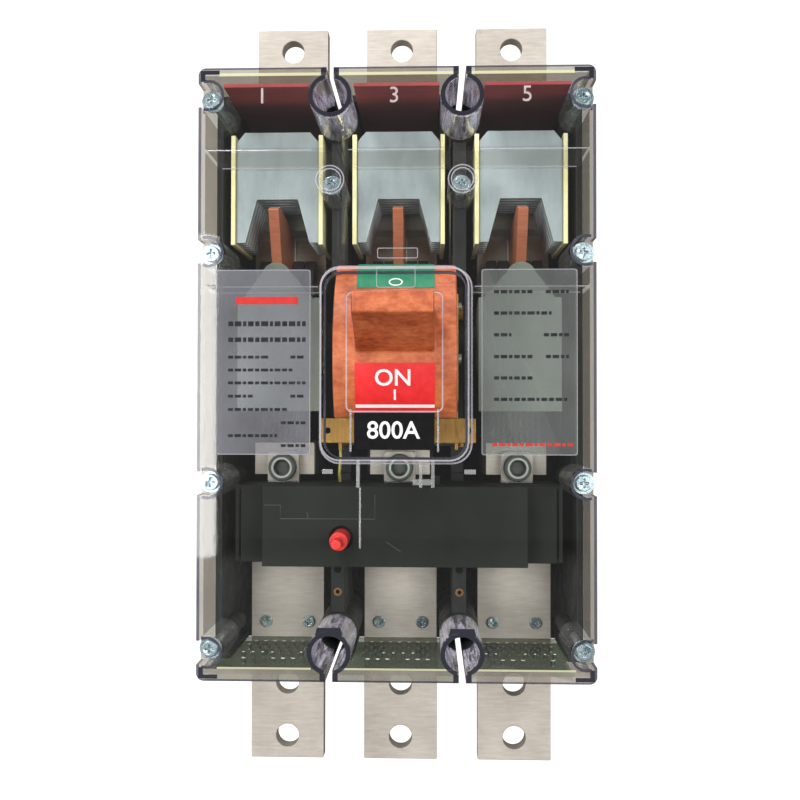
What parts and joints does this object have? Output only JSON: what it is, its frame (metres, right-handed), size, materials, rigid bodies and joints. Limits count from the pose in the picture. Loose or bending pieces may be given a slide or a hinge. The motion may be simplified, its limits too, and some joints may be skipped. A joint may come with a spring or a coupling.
{
  "type": "molded case circuit breaker",
  "caption": "Three-pole molded case circuit breaker: black base, clear front cover over the arc chutes, contacts and trip unit, rocking handle and flat terminal bars at both ends.",
  "frame": {"origin": "centre of the four mounting holes, on the back face of the base", "axes": "+Z towards the line terminals (up as installed), +X to the right seen from the operator, -Y from the panel towards the operator"},
  "size_m": [0.21, 0.185, 0.46],
  "materials": {
    "base_moulding": "matte",
    "clear_moulding": "clear gloss",
    "zinc_screw": "bright",
    "tinned_bar": "satin",
    "splitter_steel": "satin",
    "chute_board": "matte",
    "red_fibre": "matte",
    "silver_contact": "satin",
    "copper": "satin",
    "grey_moulding": "satin",
    "dark_steel": "satin",
    "bright_steel": "satin",
    "yellow_zinc": "satin",
    "trip_moulding": "satin",
    "handle_moulding": "satin mottled",
    "red_plastic": "gloss",
    "red_label": "printed film",
    "green_label": "printed film",
    "black_label": "printed film",
    "frosted_film": "frosted film"
  },
  "bodies": {
    "root": {"base_housing": "base_moulding", "base_wells": "base_moulding", "clear_cover": "clear_moulding", "cover_wells": "clear_moulding", "cover_screws": "zinc_screw", "line_terminal_left": "tinned_bar", "line_terminal_centre": "tinned_bar", "line_terminal_right": "tinned_bar", "load_terminal_left": "tinned_bar", "load_terminal_centre": "tinned_bar", "load_terminal_right": "tinned_bar", "load_bar_screws": "zinc_screw", "arc_plates_left": "splitter_steel", "arc_plates_centre": "splitter_steel", "arc_plates_right": "splitter_steel", "arc_boards_left": "chute_board", "arc_boards_centre": "chute_board", "arc_boards_right": "chute_board", "arc_baffle_left": "red_fibre", "arc_baffle_centre": "red_fibre", "arc_baffle_right": "red_fibre", "fixed_contacts": "silver_contact", "flexible_braids": "copper", "connector_screws": "dark_steel", "heater_left": "tinned_bar", "heater_centre": "tinned_bar", "heater_right": "tinned_bar", "bimetals": "bright_steel", "magnet_yoke_left": "dark_steel", "magnet_yoke_centre": "dark_steel", "magnet_yoke_right": "dark_steel", "trip_case": "trip_moulding", "trip_cover": "trip_moulding", "trip_button_spring": "bright_steel", "mechanism_frame": "yellow_zinc", "mechanism_bridge": "yellow_zinc", "mechanism_pins": "bright_steel", "cradle": "bright_steel", "rating_label": "black_label", "info_plates": "frosted_film"},
    "handle": {"handle": "handle_moulding", "handle_yoke": "bright_steel", "on_label": "red_label", "off_label": "green_label", "main_springs": "bright_steel"},
    "contact_rotor": {"crossbar": "trip_moulding", "contact_fingers_left": "copper", "contact_fingers_centre": "copper", "contact_fingers_right": "copper", "finger_cover_left": "grey_moulding", "finger_cover_right": "grey_moulding"},
    "upper_links": {"upper_links": "bright_steel", "knee_pin": "bright_steel"},
    "lower_links": {"lower_links": "bright_steel"},
    "trip_button": {"trip_button": "red_plastic"},
    "trip_bar": {"trip_bar": "trip_moulding"},
    "latch": {"latch": "bright_steel"},
    "armature_left": {"armature_left": "dark_steel"},
    "armature_centre": {"armature_centre": "dark_steel"},
    "armature_right": {"armature_right": "dark_steel"}
  },
  "joints": [
    {"name": "handle_hinge", "type": "hinge", "parent": "root", "child": "handle", "pos_m": [0, -0.097, 0.01], "axis": [1, 0, 0], "range_deg": [0, 28], "deforming": ["main_springs"]},
    {"name": "contact_hinge", "type": "hinge", "parent": "root", "child": "contact_rotor", "pos_m": [0, -0.062, 0.025], "axis": [1, 0, 0], "range_deg": [0, 18.1], "deforming": ["flexible_braids"]},
    {"name": "upper_link_hinge", "type": "hinge", "parent": "root", "child": "upper_links", "pos_m": [0, -0.094, 0], "axis": [1, 0, 0], "range_deg": [0, 16.8]},
    {"name": "lower_link_hinge", "type": "hinge", "parent": "contact_rotor", "child": "lower_links", "pos_m": [0, -0.068, 0.039], "axis": [1, 0, 0], "range_deg": [-29.6, 0]},
    {"name": "trip_button_slide", "type": "slide", "parent": "root", "child": "trip_button", "axis": [0, 1, 0], "range_m": [0, 0.004], "stiffness_N_per_m": 400, "springref_m": -0.003, "deforming": ["trip_button_spring"]},
    {"name": "trip_bar_hinge", "type": "hinge", "parent": "root", "child": "trip_bar", "pos_m": [0, -0.076, -0.07], "axis": [1, 0, 0], "range_deg": [0, 12.6]},
    {"name": "latch_hinge", "type": "hinge", "parent": "root", "child": "latch", "pos_m": [0, -0.08, -0.038], "axis": [1, 0, 0], "range_deg": [0, 10], "stiffness_Nm_per_rad": 0.1, "springref_deg": -17.19},
    {"name": "armature_left_hinge", "type": "hinge", "parent": "root", "child": "armature_left", "pos_m": [-0.07, -0.085, -0.0768], "axis": [1, 0, 0], "range_deg": [0, 11], "stiffness_Nm_per_rad": 0.05, "springref_deg": -11.46},
    {"name": "armature_centre_hinge", "type": "hinge", "parent": "root", "child": "armature_centre", "pos_m": [0, -0.085, -0.0768], "axis": [1, 0, 0], "range_deg": [0, 11], "stiffness_Nm_per_rad": 0.05, "springref_deg": -11.46},
    {"name": "armature_right_hinge", "type": "hinge", "parent": "root", "child": "armature_right", "pos_m": [0.07, -0.085, -0.0768], "axis": [1, 0, 0], "range_deg": [0, 11], "stiffness_Nm_per_rad": 0.05, "springref_deg": -11.46}
  ],
  "couplings": [
    {"joint": "contact_hinge", "follows": "handle_hinge", "ratio": 0.64286},
    {"joint": "upper_link_hinge", "follows": "handle_hinge", "ratio": 0.59457},
    {"joint": "lower_link_hinge", "follows": "handle_hinge", "ratio": -1.05},
    {"joint": "trip_bar_hinge", "follows": "trip_button_slide", "rad_per_m": 54.542}
  ]
}
